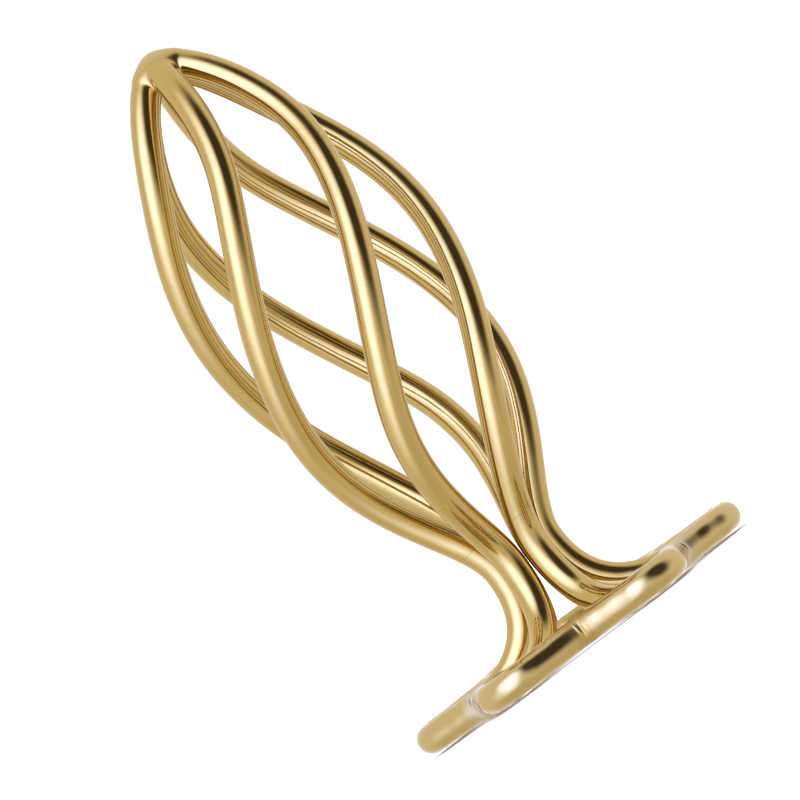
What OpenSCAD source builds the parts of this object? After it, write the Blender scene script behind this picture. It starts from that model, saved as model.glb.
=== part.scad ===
// Twisted wire cage on a six-lobed wire foot.
// Six bent rods run from a ground tip down over a belly, draw in to a neck and flare out
// as the spokes of a scalloped ring. Everything is welded: the object is rigid.

/* [Rods] */
// Diameter of the round rod that the cage is bent from
rod_d = 3.9; // [3:0.1:4]
// Total turn of each rod between the foot and the tip, in degrees
twist = 94; // [60:1:120]
// Height of the middle of the twisted stretch above the ring's plane
twist_mid_z = 51.4; // [45:0.1:56]
// Length over which the twist would run if it started and stopped abruptly
twist_run = 56; // [44:1:60]
// Half of the length over which the twist starts, at the neck
twist_ease_in = 14.5; // [4:0.5:16]
// Half of the length over which the twist dies out, near the tip
twist_ease_out = 8.5; // [4:0.5:9]

/* [Cage outline] */
// Height of the rods' centrelines at the tip, above the ring's plane
tip_z = 90.9; // [88:0.1:94]
// Radius of the belly, to the rods' centrelines
belly_r = 16.6; // [14:0.1:18]
// Height of the belly's widest place
belly_z = 52.5; // [48:0.5:56]
// Radius of the neck, to the rods' centrelines
neck_r = 3.95; // [3.95:0.05:5]
// Height of the neck's narrowest place
neck_z = 11.5; // [10:0.5:13]
// How far the outline holds its course above the belly
belly_hold_up = 19.8; // [16:0.1:24]
// How far the outline holds its course below the belly
belly_hold_down = 25.8; // [18:0.1:27]
// How far the outline holds its course above the neck
neck_hold_up = 8; // [6:0.5:12]
// Bluntness of the tip: how far the outline stays level out from the axis
tip_blunt = 5.4; // [3.6:0.1:6]

/* [Foot] */
// Diameter of the ring's wire
ring_d = 3.9; // [3:0.1:4]
// Radius to the outermost point of a lobe's centreline
lobe_r = 23.75; // [22:0.05:26]
// Bend radius of a lobe's outer end, to the centreline
lobe_bend_r = 4.45; // [4.2:0.05:5]
// Radius to the valley between two lobes, to the centreline
valley_r = 17.5; // [16:0.1:18]
// How far the spokes sag below the ring's plane
spoke_sag = 0.35; // [0.1:0.05:0.6]
// Radius at which a spoke is lowest
spoke_low_r = 16; // [15:0.1:17]
// Radius at which a spoke ends, inside its lobe
spoke_end_r = 20.6; // [19.5:0.1:20.7]
// How far a spoke runs level from its lowest place before it turns up
flare_level = 3.2; // [2:0.1:5]
// How far the flare has already become upright below the neck
flare_upright = 10.5; // [8:0.5:11]

/* [Welds] */
// Diameter of the weld bead in a valley
valley_bead_d = 4.4; // [4.35:0.05:4.8]
// Diameter of the weld round a spoke's end
spoke_bead_d = 4.3; // [4.2:0.05:4.6]
// Distance from the axis to the flats where the rods meet the ground tip
tip_flat = 3.8; // [3.7:0.1:3.9]
// Radius of the ground dome
dome_r = 6; // [5:0.5:8]

/* [Hidden] */

rod_count = 6;
pitch = 360 / rod_count;
rod_sides = 12;
gold = "#C9A659";
weld_gold = "#D9C08A";
// The ring's plane stands this high, so that the spokes' lowest points rest at z = 0
ring_z = spoke_sag + max(rod_d, ring_d) / 2;
// A length well past everything, for cutting wedges
beyond = 60;

// A point on the cubic Bezier curve with four control points p
function bezier(p, t) = pow(1 - t, 3) * p[0] + 3 * t * pow(1 - t, 2) * p[1]
    + 3 * t * t * (1 - t) * p[2] + pow(t, 3) * p[3];

// The rod's outline as [radius, height above the ring's plane]: spoke, flare, neck to belly, belly to tip
OUTLINE = [
    [[spoke_end_r, 0], [spoke_end_r - 1.5, 0], [spoke_low_r + 1.5, -spoke_sag], [spoke_low_r, -spoke_sag]],
    [[spoke_low_r, -spoke_sag], [spoke_low_r - flare_level, -spoke_sag],
     [neck_r, neck_z - flare_upright], [neck_r, neck_z]],
    [[neck_r, neck_z], [neck_r, neck_z + neck_hold_up], [belly_r, belly_z - belly_hold_down], [belly_r, belly_z]],
    [[belly_r, belly_z], [belly_r, belly_z + belly_hold_up], [tip_blunt, tip_z], [0, tip_z]]
];

// Where on the last curve the rod reaches the tip's flat, by halving the interval
function reach_flat(lo, hi, n = 30) = n == 0 ? lo
    : let (mid = (lo + hi) / 2)
      bezier(OUTLINE[3], mid)[0] > tip_flat ? reach_flat(mid, hi, n - 1) : reach_flat(lo, mid, n - 1);
tip_end = reach_flat(0, 1);

// A ramp that rises by 1 per unit, from a start that is eased over +-w
function ramp(x, w) = x < -w ? 0 : x > w ? x : pow(x + w, 2) / (4 * w);
// How far the rod has turned at a height above the ring's plane
function turned(z) = twist / twist_run * (ramp(z - (twist_mid_z - twist_run / 2), twist_ease_in)
    - ramp(z - (twist_mid_z + twist_run / 2), twist_ease_out));

// The centreline's point at u: the whole part is the curve's number, the rest is the place on it
function outline_at(u) = let (i = min(3, floor(u))) bezier(OUTLINE[i], u - i);
function centre_at(u) = let (p = outline_at(u), a = turned(p[1]))
    [p[0] * cos(a), p[0] * sin(a), p[1]];
function unit(v) = v / norm(v);

// Places along the rod where a ring of the tube stands
RINGS_PER_CURVE = [4, 13, 17, 18];
STATIONS = concat(
    [for (c = [0:2]) each [for (i = [0:RINGS_PER_CURVE[c] - 1]) c + i / RINGS_PER_CURVE[c]]],
    [for (i = [0:RINGS_PER_CURVE[3]]) 3 + tip_end * i / RINGS_PER_CURVE[3]]);

// One ring of the tube: its sides start from the direction round the axis
function rod_ring(u) =
    let (du = 0.001, c = centre_at(u),
         travel = unit(centre_at(min(u + du, 3.9999)) - centre_at(max(u - du, 0))),
         a = turned(outline_at(u)[1]), round_axis = [-sin(a), cos(a), 0],
         side = unit(round_axis - (round_axis * travel) * travel), up = cross(travel, side))
    [for (i = [0:rod_sides - 1]) c + rod_d / 2 * (cos(i * 360 / rod_sides) * side + sin(i * 360 / rod_sides) * up)];

// The last ring slides along the rod onto the tip's flat
function flat_ring(u) =
    let (du = 0.001, travel = unit(centre_at(u + du) - centre_at(u - du)), out = [cos(twist), sin(twist), 0])
    [for (p = rod_ring(u)) p + travel * ((tip_flat - p * out) / (travel * out))];

// A tube through all the stations, closed by its two end faces
module bent_rod() {
    last = len(STATIONS) - 1;
    points = concat([for (i = [0:last - 1]) each rod_ring(STATIONS[i])], flat_ring(STATIONS[last]));
    walls = [for (i = [0:last - 1], j = [0:rod_sides - 1])
        let (k = (j + 1) % rod_sides)
        each [[i * rod_sides + j, i * rod_sides + k, (i + 1) * rod_sides + k],
              [i * rod_sides + j, (i + 1) * rod_sides + k, (i + 1) * rod_sides + j]]];
    ends = [[for (j = [rod_sides - 1:-1:0]) j], [for (j = [0:rod_sides - 1]) last * rod_sides + j]];
    polyhedron(points, concat(walls, ends));
}

// The lobe's centreline: an arc about bend_x, and straight flanks to the valleys at +-half a pitch
bend_x = lobe_r - lobe_bend_r;
valley = valley_r * [cos(pitch / 2), sin(pitch / 2)];
to_bend = [bend_x, 0] - valley;
flank_angle = atan2(to_bend[1], to_bend[0]) + asin(lobe_bend_r / norm(to_bend));
flank_len = sqrt(pow(norm(to_bend), 2) - pow(lobe_bend_r, 2));
// How far a flank is drawn past its valley before the mitre cuts it
flank_over = ring_d;
// How much thinner the wire is in the bend, and how far the bend reaches inside the flanks
bend_thinning = 0.02;
bend_lap = 0.25;

// A lobe's wire along +X, with flanks that run on past the valleys. The bend is a touch thinner
// than the straight wire, as bent wire is, and its ends reach a little way inside the flanks
module lobe_wire() {
    bend_half = 90 + flank_angle + asin(bend_lap / lobe_bend_r);
    translate([bend_x, 0, 0]) rotate(-bend_half)
        rotate_extrude(angle = 2 * bend_half, $fn = 64)
            translate([lobe_bend_r, 0]) circle(d = ring_d - bend_thinning, $fn = 48);
    for (m = [0, 1]) mirror([0, m, 0])
        translate([valley[0], valley[1], 0]) rotate([0, 0, flank_angle]) rotate([0, 90, 0])
            translate([0, 0, -flank_over]) cylinder(d = ring_d, h = flank_len + flank_over, $fn = 48);
}

// The wedge of space that belongs to one lobe
module lobe_wedge() {
    linear_extrude(height = 2 * ring_d, center = true)
        polygon([[0, 0], beyond * [cos(pitch / 2), -sin(pitch / 2)], beyond * [cos(pitch / 2), sin(pitch / 2)]]);
}

module mitred_lobe() { intersection() { lobe_wire(); lobe_wedge(); } }

// One bent rod of the cage, from its spoke's end to the tip
module cage_rod(i) {
    color(gold) translate([0, 0, ring_z]) rotate((i - 1) * pitch) bent_rod();
}

// The rods' melted and ground ends: a dome over a flat for each rod
module tip_dome() {
    dome_top = tip_z + rod_d / 2;
    flats_low = tip_z - 1.2 * rod_d;
    color(gold) translate([0, 0, ring_z]) intersection() {
        translate([0, 0, flats_low]) rotate(twist + pitch / 2)
            cylinder(r = tip_flat / cos(pitch / 2), h = 2 * rod_d, $fn = 6);
        translate([0, 0, dome_top - dome_r]) sphere(r = dome_r, $fn = 64);
    }
}

// One lobe of the foot's ring, from valley to valley
module base_lobe(i) {
    color(gold) translate([0, 0, ring_z]) rotate((i - 1) * pitch) mitred_lobe();
}

// The weld beads where two lobes meet
module lobe_welds() {
    color(weld_gold) translate([0, 0, ring_z]) for (i = [0:rod_count - 1]) rotate((i + 0.5) * pitch)
        difference() {
            translate([valley_r, 0, 0]) sphere(d = valley_bead_d, $fn = 48);
            rotate(-pitch / 2) mitred_lobe();
            rotate(pitch / 2) mitred_lobe();
        }
}

// The welds that fill the space between a spoke's end and its lobe
module spoke_welds() {
    bead_start = spoke_end_r - 0.8;
    color(weld_gold) translate([0, 0, ring_z]) for (i = [0:rod_count - 1]) rotate(i * pitch)
        difference() {
            translate([bead_start, 0, 0]) rotate([0, 90, 0])
                cylinder(d = spoke_bead_d, h = lobe_r - bead_start, $fn = 48);
            translate([bead_start - 1, 0, 0]) rotate([0, 90, 0])
                cylinder(d = rod_d, h = spoke_end_r - bead_start + 1, $fn = 48);
            lobe_wire();
        }
}

cage_rod(1);  // cage_rod_1
cage_rod(2);  // cage_rod_2
cage_rod(3);  // cage_rod_3
cage_rod(4);  // cage_rod_4
cage_rod(5);  // cage_rod_5
cage_rod(6);  // cage_rod_6
tip_dome();
base_lobe(1);  // base_lobe_1
base_lobe(2);  // base_lobe_2
base_lobe(3);  // base_lobe_3
base_lobe(4);  // base_lobe_4
base_lobe(5);  // base_lobe_5
base_lobe(6);  // base_lobe_6
lobe_welds();
spoke_welds();
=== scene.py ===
import math
import bpy
import numpy as np
from mathutils import Matrix, Vector


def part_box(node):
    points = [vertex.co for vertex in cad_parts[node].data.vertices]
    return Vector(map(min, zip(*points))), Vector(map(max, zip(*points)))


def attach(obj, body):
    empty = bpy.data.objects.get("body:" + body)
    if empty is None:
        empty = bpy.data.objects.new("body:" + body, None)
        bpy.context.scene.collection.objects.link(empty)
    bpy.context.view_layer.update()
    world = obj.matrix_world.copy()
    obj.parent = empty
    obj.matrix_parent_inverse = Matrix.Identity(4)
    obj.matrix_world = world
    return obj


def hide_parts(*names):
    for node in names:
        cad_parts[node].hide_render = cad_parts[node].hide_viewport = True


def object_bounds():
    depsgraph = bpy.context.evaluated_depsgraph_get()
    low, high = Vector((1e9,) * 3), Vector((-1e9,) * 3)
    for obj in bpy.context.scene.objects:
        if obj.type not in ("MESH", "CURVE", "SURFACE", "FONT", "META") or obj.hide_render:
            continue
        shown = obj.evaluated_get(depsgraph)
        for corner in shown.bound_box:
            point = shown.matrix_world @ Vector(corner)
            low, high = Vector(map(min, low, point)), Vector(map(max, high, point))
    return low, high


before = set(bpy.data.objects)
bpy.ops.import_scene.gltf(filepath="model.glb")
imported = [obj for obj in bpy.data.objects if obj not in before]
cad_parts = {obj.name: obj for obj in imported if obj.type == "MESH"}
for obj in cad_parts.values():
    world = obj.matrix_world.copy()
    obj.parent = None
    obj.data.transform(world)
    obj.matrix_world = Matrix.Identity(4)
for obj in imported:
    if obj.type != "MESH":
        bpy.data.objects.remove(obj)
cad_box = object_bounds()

# A twisted cage of polished gold-coloured rods on a scalloped wire foot. Everything is in metres.
# The cage's axis is Z, lobe 1 of the foot lies along +X, and a valley faces -Y.

MM = 0.001
ROD_COUNT = 6
PITCH = 2 * math.pi / ROD_COUNT

# ---- Dimensions: what the frame gives, then the bends that it doesn't state ----

lobe_low, lobe_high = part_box("base_lobe_1")
rod_low, rod_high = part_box("cage_rod_1")
WIRE_R = (lobe_high.z - lobe_low.z) / 2
RING_Z = (lobe_high.z + lobe_low.z) / 2
LOBE_R = lobe_high.x - WIRE_R
SPOKE_END_R = rod_high.x
TIP_Z = cad_box[1].z - RING_Z - WIRE_R
SPOKE_SAG = RING_Z - WIRE_R

BELLY_R, BELLY_Z = 16.6 * MM, 52.5 * MM
NECK_R, NECK_Z = 3.95 * MM, 11.5 * MM
SPOKE_LOW_R = 16 * MM
BELLY_HOLD_UP, BELLY_HOLD_DOWN = 19.8 * MM, 25.8 * MM
NECK_HOLD_UP, TIP_BLUNT = 8 * MM, 5.4 * MM
FLARE_LEVEL, FLARE_UPRIGHT = 3.2 * MM, 10.5 * MM
TWIST, TWIST_RUN, TWIST_MID_Z = math.radians(94), 56 * MM, 51.4 * MM
TWIST_EASE_IN, TWIST_EASE_OUT = 14.5 * MM, 8.5 * MM

VALLEY_R = 17.5 * MM
LOBE_BEND_R = 4.45 * MM
VALLEY_BEND_R = 3.2 * MM

# The tip is melted: six rods and a cap that runs out to DOME_RIM flow together, in fillets about MELT deep.
# It starts where a rod's radius from the axis is TIP_START, and its own piece begins at TIP_CUT. No ray from a
# rod's centreline needs to run farther than TIP_REACH to leave it
MELT = 0.19 * MM
DOME_RIM = 2.3 * MM
TIP_SINK = MELT * math.log(ROD_COUNT + 1)
TIP_START, TIP_CUT = 6.0 * MM, 5.0 * MM
TIP_REACH = 3.5 * MM

# A spoke's weld runs between two radii and has a fillet. A valley's weld is twice VALLEY_WELD_HALF long
SPOKE_WELD_OUTER, SPOKE_WELD_INNER = LOBE_R - 0.8 * MM, SPOKE_END_R - 1.0 * MM
SPOKE_WELD_REACH, SPOKE_FILLET = 2.7 * MM, 0.9 * MM
VALLEY_WELD_HALF = 1.9 * MM

# The distance between one ring of vertices and the next: along a rod, near its tip and along a lobe
ROD_STEP, TIP_STEP, LOBE_STEP = 0.28 * MM, 0.11 * MM, 0.2 * MM

# Vertices round a wire. A ring's first half runs from its outside, past two that are CORNER apart, inwards
SIDES = 50
HALF = SIDES // 2
QUARTER = HALF // 2
CORNER = math.radians(7.2)
EVEN = np.linspace(0, 2 * math.pi, SIDES, endpoint=False)


def unit(v):
    return v / np.linalg.norm(v, axis=-1, keepdims=True)


def smooth_step(x):
    """0 up to 0 and 1 from 1, with the cubic 3 x^2 - 2 x^3 between them."""
    x = np.clip(x, 0, 1)
    return x * x * (3 - 2 * x)


def arc_length(points):
    return np.concatenate([[0], np.cumsum(np.linalg.norm(np.diff(points, axis=0), axis=1))])


def resample(along, places, table):
    """The rows of a table that is known at 'along', read at other places."""
    return np.column_stack([np.interp(places, along, column) for column in table.T])


def turn_about_axis(points, angle):
    c, s = math.cos(angle), math.sin(angle)
    return points @ np.array([[c, s, 0], [-s, c, 0], [0, 0, 1]])


# ---- The rods' centreline ----

def bezier(p, t):
    """A cubic Bezier curve: the Bernstein sum of the four control points in p's rows, at every t."""
    t = np.asarray(t)[:, None]
    return (1 - t) ** 3 * p[0] + 3 * t * (1 - t) ** 2 * p[1] + 3 * t * t * (1 - t) * p[2] + t ** 3 * p[3]


def outline():
    """The rod's outline as [radius, height above the ring]: spoke, flare, neck to belly, belly to tip."""
    top = TIP_Z - TIP_SINK
    return [np.array(curve) for curve in (
        [[SPOKE_END_R, 0], [SPOKE_END_R - 1.5 * MM, 0],
         [SPOKE_LOW_R + 1.5 * MM, -SPOKE_SAG], [SPOKE_LOW_R, -SPOKE_SAG]],
        [[SPOKE_LOW_R, -SPOKE_SAG], [SPOKE_LOW_R - FLARE_LEVEL, -SPOKE_SAG],
         [NECK_R, NECK_Z - FLARE_UPRIGHT], [NECK_R, NECK_Z]],
        [[NECK_R, NECK_Z], [NECK_R, NECK_Z + NECK_HOLD_UP],
         [BELLY_R, BELLY_Z - BELLY_HOLD_DOWN], [BELLY_R, BELLY_Z]],
        [[BELLY_R, BELLY_Z], [BELLY_R, BELLY_Z + BELLY_HOLD_UP], [TIP_BLUNT, top], [0, top]])]


def ramp(x, w):
    """0 before -w and x after +w, with the parabola between them that joins both smoothly."""
    return np.where(x < -w, 0, np.where(x > w, x, (x + w) ** 2 / (4 * w)))


def turned(z):
    """The angle that a rod has turned through at a height: a straight ramp, eased at neck and tip."""
    start = ramp(z - (TWIST_MID_Z - TWIST_RUN / 2), TWIST_EASE_IN)
    end = ramp(z - (TWIST_MID_Z + TWIST_RUN / 2), TWIST_EASE_OUT)
    return TWIST / TWIST_RUN * (start - end)


def rod_centreline():
    """The outline wound round the axis by turned(height), from inside the lobe to the axis.

    Gives each point's place along the rod, the points, the directions of travel, the radii and the angles.
    They are ROD_STEP apart, and TIP_STEP where the radius is under TIP_START, where the rods begin to meet.
    """
    in_lobe = np.column_stack([np.linspace(LOBE_R, SPOKE_END_R, 50), np.zeros(50)])
    fine = np.vstack([in_lobe] + [bezier(curve, np.linspace(0, 1, 800))[1:] for curve in outline()])
    radius, height = fine.T
    angle = turned(height)
    points = np.column_stack([radius * np.cos(angle), radius * np.sin(angle), height + RING_Z])
    along = arc_length(points)
    travel = unit(np.gradient(points, along, axis=0))
    upper = height > BELLY_Z
    tip_along = np.interp(-TIP_START, -radius[upper], along[upper])
    places = np.concatenate([np.linspace(0, tip_along, int(tip_along / ROD_STEP))[:-1],
                             np.linspace(tip_along, along[-1], int((along[-1] - tip_along) / TIP_STEP))])
    table = resample(along, places, np.column_stack([points, travel, radius, angle]))
    return places, table[:, :3], unit(table[:, 3:6]), table[:, 6], table[:, 7]


# ---- The lobes' centreline ----

def lobe_centreline():
    """Half a valley's bend, a straight flank, the lobe's round end, and the same mirrored, along +X.

    The flank is the tangent from the valley's point to the round end. The valley's bend swings the wire from
    square to the valley's radius, at its innermost point, to the flank's direction.
    """
    bend_x = LOBE_R - LOBE_BEND_R
    radial = np.array([math.cos(PITCH / 2), math.sin(PITCH / 2)])
    to_bend = np.array([bend_x, 0]) - VALLEY_R * radial
    flank = math.atan2(to_bend[1], to_bend[0]) + math.asin(LOBE_BEND_R / np.linalg.norm(to_bend))
    turn = flank + math.pi / 2 - PITCH / 2
    centre = radial * (VALLEY_R + VALLEY_BEND_R)
    swing = PITCH / 2 + math.pi + np.linspace(0, turn, 60)
    valley_arc = centre + VALLEY_BEND_R * np.column_stack([np.cos(swing), np.sin(swing)])
    close = np.linspace(flank + math.pi / 2, 0, 90)
    round_end = np.array([bend_x, 0]) + LOBE_BEND_R * np.column_stack([np.cos(close), np.sin(close)])
    half = np.vstack([valley_arc, round_end])
    flat = np.vstack([half, (half * [1, -1])[::-1][1:]])
    points = np.column_stack([flat, np.full(len(flat), RING_Z)])
    along = arc_length(points)
    places = np.linspace(0, along[-1], int(along[-1] / LOBE_STEP))
    return places, resample(along, places, points)


# ---- Rings, faces and pieces ----

def ring_angles(middle=math.pi / 2, gap=CORNER, rows=1):
    """Angles for half a ring: even steps from 0 to the first corner, and from the second corner to pi."""
    middle, gap = np.broadcast_to(middle, rows)[:, None], np.broadcast_to(gap, rows)[:, None]
    first = np.linspace(0, 1, QUARTER + 1)
    rest = np.linspace(0, 1, HALF - QUARTER)
    return np.hstack([(middle - gap / 2) * first, middle + gap / 2 + (math.pi - middle - gap / 2) * rest])


def ring_directions(angles, side, up):
    """Unit directions round a ring, from against up, through side, to along up: -cos a up + sin a side."""
    return -np.cos(angles)[..., None] * up[:, None, :] + np.sin(angles)[..., None] * side[:, None, :]


def round_tube(centres, side, up):
    """A circle of the wire's radius carried along the path, in the plane of side and up, and its normals."""
    half = ring_angles(rows=len(centres))
    outward = ring_directions(np.hstack([half, 2 * math.pi - half[:, -2:0:-1]]), side, up)
    return centres[:, None, :] + WIRE_R * outward, outward


def grid_faces(first, rows, end_cap):
    """Quads between neighbouring rings, closed round each ring, and a flat face over the start.

    There is one over the end too, unless the end is a pole. Vertices are numbered from 'first', ring by ring.
    """
    i, j = np.meshgrid(first + SIDES * np.arange(rows - 1), np.arange(SIDES), indexing="ij")
    k = (j + 1) % SIDES
    faces = np.stack([i + j, i + k, i + SIDES + k, i + SIDES + j], -1).reshape(-1, 4).tolist()
    faces.append(list(range(first + SIDES - 1, first - 1, -1)))
    if end_cap:
        last = first + (rows - 1) * SIDES
        faces.append(list(range(last, last + SIDES)))
    return faces


def grid_uv(along):
    """U runs once round the wire and V is the length along it, in steps of 12 mm."""
    return np.stack(np.meshgrid(np.arange(SIDES) / SIDES, along / (12 * MM)), -1)


def sixth(k, points, normals, uv, uv_shift=(0, 0), end_cap=True):
    """A part of a piece, turned to the k-th of six places. Its UV moves on, so that no two look alike."""
    return (turn_about_axis(points, k * PITCH), turn_about_axis(normals, k * PITCH),
            uv + k * np.array(uv_shift), end_cap)


def new_piece(name, parts, attributes):
    """A smooth-shaded mesh object at the origin, from parts as sixth() gives them.

    attributes is a dictionary from name to a function that gives a number for each vertex.
    """
    vertices, normals, uv = (np.vstack([part[i].reshape(-1, width) for part in parts])
                             for i, width in ((0, 3), (1, 3), (2, 2)))
    faces = []
    first = 0
    for points, _, _, end_cap in parts:
        faces += grid_faces(first, len(points), end_cap)
        first += len(points) * SIDES
    mesh = bpy.data.meshes.new(name)
    mesh.from_pydata(vertices.tolist(), [], faces)
    mesh.update()
    mesh.polygons.foreach_set("use_smooth", np.ones(len(mesh.polygons), bool))
    corner = np.zeros(len(mesh.loops), np.int32)
    mesh.loops.foreach_get("vertex_index", corner)
    mesh.uv_layers.new(name="along").data.foreach_set("uv", uv[corner].astype(np.float32).ravel())
    for key, values in attributes.items():
        layer = mesh.attributes.new(key, "FLOAT", "POINT")
        layer.data.foreach_set("value", values(vertices).astype(np.float32))
    mesh.normals_split_custom_set_from_vertices(normals.tolist())
    piece = bpy.data.objects.new(name, mesh)
    bpy.context.scene.collection.objects.link(piece)
    return piece


def finish_piece(piece, material, slot, *nodes):
    piece.data.materials.append(material)
    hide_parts(*nodes)
    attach(piece, "root")


# ---- Melted joints ----

def path_distance(points, path):
    """The distance from each point to the nearest place on a polyline, over all of its segments."""
    start, step = path[:-1], np.diff(path, axis=0)
    length2 = (step * step).sum(1)
    to = points[:, None, :] - start[None]
    t = np.clip((to * step).sum(-1) / length2, 0, 1)
    gap = to - t[..., None] * step
    return np.sqrt((gap * gap).sum(-1).min(1))


def grow(centres, directions, field, limit):
    """The length of each ray up to where the field is 0: again and again it grows by the depth that is left.

    It starts inside, where the field is below 0 and no deeper than the true depth, so the first wall stops it.
    """
    shape = directions.shape[:2]
    start = np.broadcast_to(centres[:, None, :], directions.shape).reshape(-1, 3)
    d = directions.reshape(-1, 3)
    most = np.broadcast_to(limit, shape).ravel()
    t = np.zeros(len(d))
    for _ in range(26):
        t = np.minimum(t - field(start + t[:, None] * d), most)
    return t.reshape(shape)


def slope(points, field):
    """Unit normals: the field's gradient, by central differences over 0.02 mm each way."""
    flat = points.reshape(-1, 3)
    steps = np.eye(3) * 0.02 * MM
    gradient = np.column_stack([field(flat + step) - field(flat - step) for step in steps])
    return unit(gradient + 1e-12).reshape(points.shape)


rod_places, rod_path, rod_travel, rod_radius, rod_angle = rod_centreline()
round_axis = np.column_stack([-np.sin(rod_angle), np.cos(rod_angle), np.zeros(len(rod_angle))])
rod_side = unit(round_axis - (round_axis * rod_travel).sum(1)[:, None] * rod_travel)
rod_up = np.cross(rod_travel, rod_side)
above_belly = rod_path[:, 2] > BELLY_Z + RING_Z
tip_first = int(np.argmax(above_belly & (rod_radius <= TIP_START)))
tip_cut = int(np.argmax(above_belly & (rod_radius <= TIP_CUT)))
spoke_cut = int(np.argmax(rod_radius <= SPOKE_WELD_INNER))

# The tip is worked out for one rod with its plane turned to +X, then turned back
tip_line = turn_about_axis(rod_path[tip_first - 12:], -TWIST)
cap_line = tip_line[tip_line[:, 0] < DOME_RIM]


def tip_field(points):
    """Depth below the melted tip's surface, as a negative number.

    -m log(sum of exp(-d / m)) over the rods' and the cap's own depths d, which rounds each crease by about m.
    The cap is the rods' line spun round the axis.
    """
    total = np.zeros(len(points))
    for k in range(ROD_COUNT):
        total += np.exp((WIRE_R - path_distance(turn_about_axis(points, k * PITCH), tip_line)) / MELT)
    flat = np.column_stack([np.hypot(points[:, 0], points[:, 1]), np.zeros(len(points)), points[:, 2]])
    total += np.exp((WIRE_R - path_distance(flat, cap_line)) / MELT)
    return -MELT * np.log(total)


def to_neighbour(centres, directions):
    """The length of each ray up to the upright plane half-way to the next rod, where y = x tan 30 degrees.

    It is TIP_REACH at most, which is past any surface.
    """
    tan = math.tan(PITCH / 2)
    closing = directions[..., 1] - directions[..., 0] * tan
    length = np.where(closing > 1e-6, centres[:, None, 0] * tan / np.maximum(closing, 1e-6), 1.0)
    return np.minimum(length, TIP_REACH)


def melted_tip():
    """Rings of one rod from TIP_START to the axis, and their normals.

    Each ray ends on the melted surface or half-way to the next rod. Two vertices of a ring stand at the ends of
    its half-way wall, so that neighbours meet along one clean line.
    """
    centre, side, up = (turn_about_axis(v[tip_first:], -TWIST) for v in (rod_path, rod_side, rod_up))
    centre = centre * [1, 0, 1]
    side = side * [0, 1, 0]
    scan = np.linspace(0.02, math.pi - 0.02, 160)
    final = len(scan) - 1
    rays = ring_directions(np.broadcast_to(scan, (len(centre), len(scan))), side, up)
    reach = to_neighbour(centre, rays)
    wall = tip_field((centre[:, None] + reach[..., None] * rays).reshape(-1, 3)).reshape(reach.shape)
    meets_plane = reach < TIP_REACH - 0.1 * MM
    walled = (wall < 0) & meets_plane
    middle = scan[np.argmin(np.where(meets_plane, wall, 1), axis=1)]

    def corner(inner, outer):
        """Where the half-way plane meets the surface: between two scanned angles, by halving."""
        below, above = scan[inner], scan[outer]
        for _ in range(14):
            at = (below + above) / 2
            ray = ring_directions(at[:, None], side, up)
            inside = tip_field(centre + to_neighbour(centre, ray) * ray[:, 0]) < 0
            below, above = np.where(inside, at, below), np.where(inside, above, at)
        return below

    inner = np.argmax(walled, axis=1)
    first = np.where(walled.any(1), corner(inner, np.maximum(inner - 1, 0)), middle)
    inner = final - np.argmax(walled[:, ::-1], axis=1)
    last = np.where(walled.any(1), corner(inner, np.minimum(inner + 1, final)), middle)
    ease = smooth_step((TIP_START - rod_radius[tip_first:]) / (TIP_START - TIP_CUT))
    middle = math.pi / 2 + ((first + last) / 2 - math.pi / 2) * ease
    rays = ring_directions(ring_angles(middle, np.maximum(last - first, CORNER), len(centre)), side, up)
    length = grow(centre, rays, tip_field, to_neighbour(centre, rays))
    points = centre[:, None] + length[..., None] * rays
    points[-1, :QUARTER + 1] = points[-1, 0]
    points[-1, QUARTER + 1:] = points[-1, -1]
    normals = slope(points, tip_field)
    mirror = np.array([1, -1, 1])
    whole = [np.concatenate([v, v[:, -2:0:-1] * mirror], axis=1) for v in (points, normals)]
    return [turn_about_axis(v, TWIST) for v in whole]


lobe_places, lobe_path = lobe_centreline()
spoke_line = np.array([[LOBE_R, 0, RING_Z], [SPOKE_END_R, 0, RING_Z]])
joint_line = np.vstack([spoke_line, rod_path[spoke_cut - 3:spoke_cut + 30]])
lobe_bend = lobe_path[len(lobe_path) // 4:-len(lobe_path) // 4]


def joint_field(points):
    """Depth below the spoke's end and the lobe together, with their crease filled to a fillet of width k.

    min(a, b) - h^2 / 4k, where h = k - |a - b| or 0.
    """
    a = path_distance(points, joint_line) - WIRE_R
    b = path_distance(points, lobe_bend) - WIRE_R
    h = np.maximum(SPOKE_FILLET - np.abs(a - b), 0)
    return np.minimum(a, b) - h * h / (4 * SPOKE_FILLET)


# ---- Nodes and materials ----

def linear(hex_colour):
    """sRGB hex to linear RGBA."""
    parts = [int(hex_colour[i:i + 2], 16) / 255 for i in (1, 3, 5)]
    return [p / 12.92 if p <= 0.04045 else ((p + 0.055) / 1.055) ** 2.4 for p in parts] + [1]


def add(tree, kind, links=(), **settings):
    """Adds a node. Settings named in_X set an input, others set the node. Links are (input, socket) pairs."""
    node = tree.nodes.new(kind)
    for key, value in settings.items():
        if key.startswith("in_"):
            name = key[3:].replace("_", " ")
            node.inputs[int(name) if name.isdigit() else name].default_value = value
        else:
            setattr(node, key, value)
    for name, socket in links:
        tree.links.new(socket, node.inputs[name])
    return node


GOLD, DEEP_GOLD = linear("#CFB06C"), [c * 0.9 for c in linear("#CFB06C")[:3]] + [1]
PALE_GOLD, JOINT_BROWN = linear("#DED2B2"), linear("#5A4420")
POLISHED, SATIN = 0.11, 0.42

# The fine joint mark across each rod, above the neck. Noise moves it up and down by SEAM_WANDER in all
SEAM_WANDER = 1.6 * MM
SEAM_Z = RING_Z + 16.3 * MM + SEAM_WANDER / 2


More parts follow.
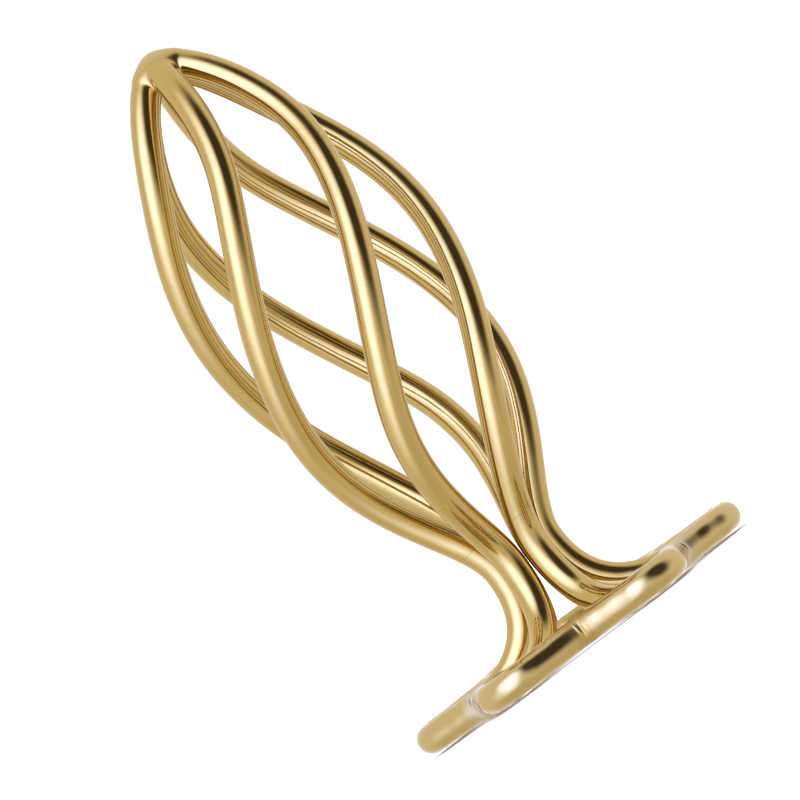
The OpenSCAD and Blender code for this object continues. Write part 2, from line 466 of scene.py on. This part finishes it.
def plated_gold(name):
    """Thin gold plate on brass, buffed along the wire, which gives long clean reflections with soft edges.

    Where a piece's 'satin' attribute says so, fine pits blur them, as on metal that was only ground. 'pale'
    whitens the gold, as heat does, and 'hammered' makes the reflections waver over bends that were set by hand.
    """
    material = bpy.data.materials.new(name)
    material.use_nodes = True
    tree = material.node_tree
    tree.nodes.clear()
    place = add(tree, "ShaderNodeTexCoord")
    satin = add(tree, "ShaderNodeAttribute", attribute_name="satin")
    pale = add(tree, "ShaderNodeAttribute", attribute_name="pale")
    hammered = add(tree, "ShaderNodeAttribute", attribute_name="hammered")

    # Polishing lines along the wire. Real ones are 0.05 mm apart, and these are 0.3 mm so that they show
    stretch = add(tree, "ShaderNodeMapping", [("Vector", place.outputs["UV"])], in_Scale=(40, 1.2, 1))
    lines = add(tree, "ShaderNodeTexNoise", [("Vector", stretch.outputs[0])], in_Scale=1.0, in_Detail=3.0)
    # Cloudy tone every 4.5 mm, hammer marks every 4.3 mm, and the satin's pits every 0.45 mm. Real pits are
    # 0.1 mm apart, too fine to show
    point = place.outputs["Object"]
    clouds = add(tree, "ShaderNodeTexNoise", [("Vector", point)], in_Scale=220.0, in_Detail=2.0)
    marks = add(tree, "ShaderNodeTexNoise", [("Vector", point)], in_Scale=230.0, in_Detail=1.0)
    pits = add(tree, "ShaderNodeTexNoise", [("Vector", point)], in_Scale=2200.0, in_Detail=2.0)

    # Roughness: a little more in some polishing lines than in others
    buffed = add(tree, "ShaderNodeMapRange", [("Value", lines.outputs["Fac"])],
                 in_From_Min=0.35, in_From_Max=0.7, in_To_Min=POLISHED * 0.8, in_To_Max=POLISHED * 1.3)
    rough = add(tree, "ShaderNodeMix", [(0, satin.outputs["Fac"]), (2, buffed.outputs[0])],
                data_type="FLOAT", in_3=SATIN)

    # Colour: gold in two near tones, paler on welds, with the joint mark just visible over it
    tone = add(tree, "ShaderNodeMix", [(0, clouds.outputs["Fac"])], data_type="RGBA",
               in_6=GOLD, in_7=DEEP_GOLD)
    plated = add(tree, "ShaderNodeMix", [(0, pale.outputs["Fac"]), (6, tone.outputs[2])], data_type="RGBA",
                 in_7=PALE_GOLD)
    height = add(tree, "ShaderNodeSeparateXYZ", [(0, point)])
    wander = add(tree, "ShaderNodeMath", [(0, marks.outputs["Fac"]), (2, height.outputs[2])],
                 operation="MULTIPLY_ADD", in_1=SEAM_WANDER)
    seam = add(tree, "ShaderNodeMath", [(0, wander.outputs[0])], operation="COMPARE",
               in_1=SEAM_Z, in_2=0.08 * MM)
    faint = add(tree, "ShaderNodeMath", [(0, seam.outputs[0])], operation="MULTIPLY", in_1=0.07)
    colour = add(tree, "ShaderNodeMix", [(0, faint.outputs[0]), (6, plated.outputs[2])], data_type="RGBA",
                 in_7=JOINT_BROWN)

    # Relief, each over the one before: hammer marks, polishing lines, the joint's notch and the satin's pits
    dents = add(tree, "ShaderNodeBump", [("Strength", hammered.outputs["Fac"]),
                                         ("Height", marks.outputs["Fac"])], in_Distance=0.4 * MM)
    ridges = add(tree, "ShaderNodeBump", [("Height", lines.outputs["Fac"]), ("Normal", dents.outputs[0])],
                 in_Strength=0.12, in_Distance=0.02 * MM)
    notch = add(tree, "ShaderNodeBump", [("Height", seam.outputs[0]), ("Normal", ridges.outputs[0])],
                in_Strength=0.7, in_Distance=-0.12 * MM)
    pitted = add(tree, "ShaderNodeBump", [("Strength", satin.outputs["Fac"]), ("Height", pits.outputs["Fac"]),
                                          ("Normal", notch.outputs[0])], in_Distance=0.01 * MM)
    shader = add(tree, "ShaderNodeBsdfPrincipled", [("Base Color", colour.outputs[2]),
                                                    ("Roughness", rough.outputs[0]),
                                                    ("Normal", pitted.outputs[0])], in_Metallic=1.0)
    add(tree, "ShaderNodeOutputMaterial", [("Surface", shader.outputs[0])])
    return material


# Buffed rod and wire: mirror-bright, with the studio drawn out along it
POLISHED_GOLD = plated_gold("polished_gold_plate")
# Ground welds under the same plate: nearly all satin and pale, so that they look soft beside the rods
WELD_GOLD = plated_gold("ground_weld")


# ---- Where the finish changes ----

def near(centres, reach, amount=1.0):
    """A function of points: the amount up to a third of the reach from any centre, falling to 0 at it."""
    def value(points):
        distance = np.linalg.norm(points[:, None, :] - np.array(centres)[None], axis=2).min(1)
        return amount * smooth_step(1.5 * (1 - distance / reach))
    return value


def most(*functions):
    return lambda points: np.maximum.reduce([function(points) for function in functions])


def round_the_ring(radius, first_angle):
    """Six points in the ring's plane, a pitch apart."""
    angles = first_angle + PITCH * np.arange(ROD_COUNT)
    return np.column_stack([radius * np.cos(angles), radius * np.sin(angles), np.full(ROD_COUNT, RING_Z)])


tip_centre = [[0, 0, TIP_Z + RING_Z]]
spoke_joints = round_the_ring(SPOKE_END_R, 0)
valleys = round_the_ring(VALLEY_R, PITCH / 2)
side_valleys = valleys[np.abs(valleys[:, 0]) > VALLEY_R / 2]

# Satin where it was ground, pale where it was heated, and hammered on the foot, up to 7 mm above the floor
ROD_FINISH = {
    "satin": most(near(valleys, 4.4 * MM), near(tip_centre, 7 * MM, 0.45), near(spoke_joints, 4 * MM, 0.8)),
    "pale": most(near(side_valleys, 4.2 * MM, 0.8), near(spoke_joints, 3 * MM, 0.6)),
    "hammered": lambda points: 0.12 + 0.35 * smooth_step((7 * MM - points[:, 2]) / (3 * MM))}
LOBE_FINISH = dict(ROD_FINISH, pale=lambda points: np.maximum(0.18, ROD_FINISH["pale"](points)))


# ---- The rods, the tip and the spokes' welds ----

def make_rods():
    """Round tubes from the spoke's weld to the tip, and the tip's six melted ends in one piece."""
    tip_points, tip_normals = melted_tip()
    body_points, body_normals = round_tube(rod_path, rod_side, rod_up)
    points = np.concatenate([body_points[:tip_first], tip_points])
    normals = np.concatenate([body_normals[:tip_first], tip_normals])
    uv = grid_uv(rod_places)
    rod, tip = slice(spoke_cut, tip_cut + 1), slice(tip_cut, None)
    uv_shift = (0.37, 0.61)
    for k in range(ROD_COUNT):
        part = sixth(k, points[rod], normals[rod], uv[rod], uv_shift)
        finish_piece(new_piece(f"rod_{k + 1}", [part], ROD_FINISH), POLISHED_GOLD, "polished_gold",
                     f"cage_rod_{k + 1}")
    parts = [sixth(k, points[tip], normals[tip], uv[tip], uv_shift, end_cap=False) for k in range(ROD_COUNT)]
    finish_piece(new_piece("melted_tip", parts, ROD_FINISH), POLISHED_GOLD, "polished_gold", "tip_dome")


def make_spoke_welds():
    """Rings round a spoke's end, each ray run out to the fillet between spoke and lobe, less 4 microns."""
    end = slice(int(np.argmax(rod_radius <= SPOKE_WELD_OUTER)), spoke_cut + 1)
    centres = rod_path[end]
    outward = ring_directions(np.broadcast_to(EVEN, (len(centres), SIDES)), rod_side[end], rod_up[end])
    length = grow(centres, outward, joint_field, SPOKE_WELD_REACH) - 0.004 * MM
    points = centres[:, None] + length[..., None] * outward
    normals = slope(points, joint_field)
    uv = grid_uv(rod_places[end])
    parts = [sixth(k, points, normals, uv, (0.3, 0)) for k in range(ROD_COUNT)]
    finish_piece(new_piece("spoke_fillet_welds", parts, ROD_FINISH), WELD_GOLD, "weld_gold", "spoke_welds")


# ---- The foot's lobes and the valleys' welds ----

def surface_normals(points, outward):
    """The cross product of the grid's two directions, turned to agree with the given outward directions."""
    along = np.gradient(points, axis=0)
    around = np.roll(points, -1, axis=1) - np.roll(points, 1, axis=1)
    normal = unit(np.cross(around, along))
    return normal * np.sign((normal * outward).sum(-1, keepdims=True))


lobe_up = np.tile([0.0, 0, 1], (len(lobe_path), 1))
lobe_travel = unit(np.gradient(lobe_path, axis=0))
lobe_travel[0] = [math.sin(PITCH / 2), -math.cos(PITCH / 2), 0]
lobe_travel[-1] = [-math.sin(PITCH / 2), -math.cos(PITCH / 2), 0]
lobe_side = np.cross(lobe_up, lobe_travel)
weld_rings = int(np.argmax(lobe_places >= VALLEY_WELD_HALF))


def make_lobes():
    """Lobes run between the valleys' welds, where bending has dented the wire.

    The radius is the wire's less a sum of slow sine waves round and along it, 0.06 mm at most, which fade out
    towards the welds.
    """
    lobe = slice(weld_rings, len(lobe_path) - weld_rings)
    from_end = np.minimum(lobe_places, lobe_places[-1] - lobe_places)[:, None]
    fade = smooth_step((from_end - VALLEY_WELD_HALF) / (2.5 * MM))
    plain, _ = round_tube(lobe_path, lobe_side, lobe_up)
    outward = unit(plain - lobe_path[:, None])
    v = lobe_places[:, None] / MM
    for k in range(ROD_COUNT):
        dents = (np.sin(1.15 * v + 2 * EVEN + 2.4 * k) + 0.8 * np.sin(0.8 * v - EVEN + 4.1 * k)
                 + 0.6 * np.sin(1.9 * v + EVEN + 1.3 * k) - 2.4)
        points = plain + (0.012 * MM * fade * dents)[..., None] * outward
        normals = surface_normals(points, outward)
        part = sixth(k, points[lobe], normals[lobe], grid_uv(lobe_places[lobe]), (0.23, 0.47))
        finish_piece(new_piece(f"lobe_{k + 1}", [part], LOBE_FINISH), POLISHED_GOLD, "polished_gold",
                     f"base_lobe_{k + 1}")


def make_valley_welds():
    """The wire's stretch across each valley, ground into soft lumps, never lower than the foot's underside.

    The radius is the wire's plus quicker sine waves round and along it, which fade out towards the lobes. The
    weld at the left of the front also has a lip, where the wire's end was laid over: a ridge and a groove
    beside it, both bell curves across a curved line.
    """
    # The end of a lobe, then the start of the next one, turned on by a pitch
    before, after = slice(len(lobe_path) - weld_rings - 1, None), slice(1, weld_rings + 1)
    along = np.concatenate([lobe_places[before] - lobe_places[-1], lobe_places[after]])
    fine = np.linspace(along[0], along[-1], 60)
    path, side = (np.vstack([v[before], turn_about_axis(v[after], -PITCH)]) for v in (lobe_path, lobe_side))
    centres, side = resample(along, fine, path), unit(resample(along, fine, side))
    up = np.tile([0.0, 0, 1], (len(fine), 1))
    outward = ring_directions(np.broadcast_to(EVEN, (len(fine), SIDES)), side, up)
    fade = smooth_step(1.6 * (1 - np.abs(fine) / VALLEY_WELD_HALF))[:, None]
    v = fine[:, None] / MM
    parts = []
    for k in range(ROD_COUNT):
        phase = 1.7 * k
        waves = (np.sin(2 * EVEN + 2.2 * v + phase) + 0.7 * np.sin(3 * EVEN - 3.1 * v + 2 * phase)
                 + 0.5 * np.sin(EVEN + 1.3 * phase))
        swell = 0.045 * MM * waves + 0.02 * MM
        if k == 4:
            facing = np.cos(EVEN - 0.9)
            from_edge = v - 0.35 + 0.6 * facing
            lip = 0.4 * np.exp(-(from_edge / 0.25) ** 2) - 0.25 * np.exp(-((from_edge + 0.55) / 0.28) ** 2)
            swell = swell + lip * smooth_step(0.3 + facing) * MM
        points = centres[:, None] + (WIRE_R + fade * swell)[..., None] * outward
        points[..., 2] = np.maximum(points[..., 2], 0)
        normals = surface_normals(points, outward)
        normals[[0, -1]] = outward[[0, -1]]
        parts.append(sixth(k, points, normals, grid_uv(fine)))
    finish_piece(new_piece("valley_welds", parts, ROD_FINISH), WELD_GOLD, "weld_gold", "lobe_welds")


make_rods()
make_spoke_welds()
make_lobes()
make_valley_welds()

# ---- Floor, light and camera ----

# Matt white paper, which gives only a soft shadow under the foot
paper = bpy.data.materials.new("floor_white")
paper.use_nodes = True
paper_shader = paper.node_tree.nodes["Principled BSDF"]
paper_shader.inputs["Base Color"].default_value = linear("#F4F3F1")
paper_shader.inputs["Roughness"].default_value = 1.0
bpy.ops.mesh.primitive_plane_add(size=8)
floor = bpy.context.object
floor.name = "floor"
floor.data.materials.append(paper)
floor.visible_glossy = False

world = bpy.data.worlds.new("studio_tent")
bpy.context.scene.world = world
world.use_nodes = True
tent = world.node_tree
tent.nodes.clear()
towards = add(tent, "ShaderNodeTexCoord").outputs["Generated"]


def direction(azimuth, elevation):
    """A unit vector from the object. Azimuth 0 is the front, -Y, and positive is to the front's right."""
    a, e = math.radians(azimuth), math.radians(elevation)
    return (math.sin(a) * math.cos(e), -math.cos(a) * math.cos(e), math.sin(e))


def patch(glow, azimuth, elevation, full, edge, colour, stretch=(1, 1, 1)):
    """The tent's glow with a patch of another colour, full within 'full' degrees and gone at 'edge' degrees.

    Angles from the patch's direction are measured as chords, the length of the step to it, after a stretch.
    """
    step = add(tent, "ShaderNodeVectorMath", [(0, towards)], operation="SUBTRACT",
               in_1=direction(azimuth, elevation))
    wide = add(tent, "ShaderNodeVectorMath", [(0, step.outputs[0])], operation="MULTIPLY", in_1=stretch)
    chord = add(tent, "ShaderNodeVectorMath", [(0, wide.outputs[0])], operation="LENGTH")
    full_chord, edge_chord = (2 * math.sin(math.radians(angle) / 2) for angle in (full, edge))
    amount = add(tent, "ShaderNodeMapRange", [(0, chord.outputs["Value"])], interpolation_type="SMOOTHSTEP",
                 in_1=full_chord, in_2=edge_chord, in_3=1.0, in_4=0.0)
    mix = add(tent, "ShaderNodeMix", [(0, amount.outputs[0]), (6, glow)], data_type="RGBA", in_7=colour)
    return mix.outputs[2]


# The tent that the gold reflects: even white, dimmer towards the floor, with a large cool window at the upper
# left that is lit so strongly that its reflections lose their gold, a fainter one low at the left, and a dark
# opening at the right
glow = add(tent, "ShaderNodeCombineColor", in_Red=0.93, in_Green=0.93, in_Blue=0.93).outputs[0]
glow = patch(glow, 0, -90, 25, 82, (0.74, 0.7, 0.6, 1))
glow = patch(glow, -50, -8, 14, 46, (1.15, 1.25, 1.6, 1))
glow = patch(glow, 52, 30, 18, 44, (0.07, 0.06, 0.05, 1), stretch=(1, 1, 0.62))
glow = patch(glow, -26, 28, 9, 46, (2.15, 2.6, 4.9, 1), stretch=(1, 1, 0.55))
reflected = add(tent, "ShaderNodeBackground", [("Color", glow)], in_Strength=1.0)
backdrop = add(tent, "ShaderNodeBackground", in_Color=linear("#FFFFFF"), in_Strength=1.1)
ray = add(tent, "ShaderNodeLightPath")
seen = add(tent, "ShaderNodeMixShader", [(0, ray.outputs["Is Camera Ray"]), (1, reflected.outputs[0]),
                                         (2, backdrop.outputs[0])])
add(tent, "ShaderNodeOutputWorld", [("Surface", seen.outputs[0])])

# An even light from above keeps the floor pale out to its horizon. It is too wide to show in the gold
sky = bpy.data.lights.new("overhead", "SUN")
sky.energy = 3.0
sky.angle = math.radians(100)
sky.color = (1.0, 0.97, 0.88)
overhead = bpy.data.objects.new("overhead", sky)
bpy.context.scene.collection.objects.link(overhead)
overhead.visible_glossy = False
bpy.context.scene.view_settings.view_transform = "Standard"

# The camera is a little above the foot and rolled, so that the upright cage leans to the left in the frame
AIM = Vector((-0.7 * MM, 0, 39.6 * MM))
CAMERA_DISTANCE = 561 * MM
FRAME_WIDTH = 103.2 * MM
camera = bpy.data.objects.new("camera", bpy.data.cameras.new("camera"))
bpy.context.scene.collection.objects.link(camera)
camera.location = (AIM.x, -CAMERA_DISTANCE, RING_Z + 16 * MM)
camera.rotation_mode = "QUATERNION"
level = (AIM - camera.location).to_track_quat("-Z", "Y")
camera.rotation_quaternion = level @ Matrix.Rotation(math.radians(-37.05), 3, "Z").to_quaternion()
camera.data.sensor_width = 36
camera.data.lens = camera.data.sensor_width * CAMERA_DISTANCE / FRAME_WIDTH
camera.data.clip_start = 0.01
camera.data.clip_end = 50
bpy.context.scene.camera = camera
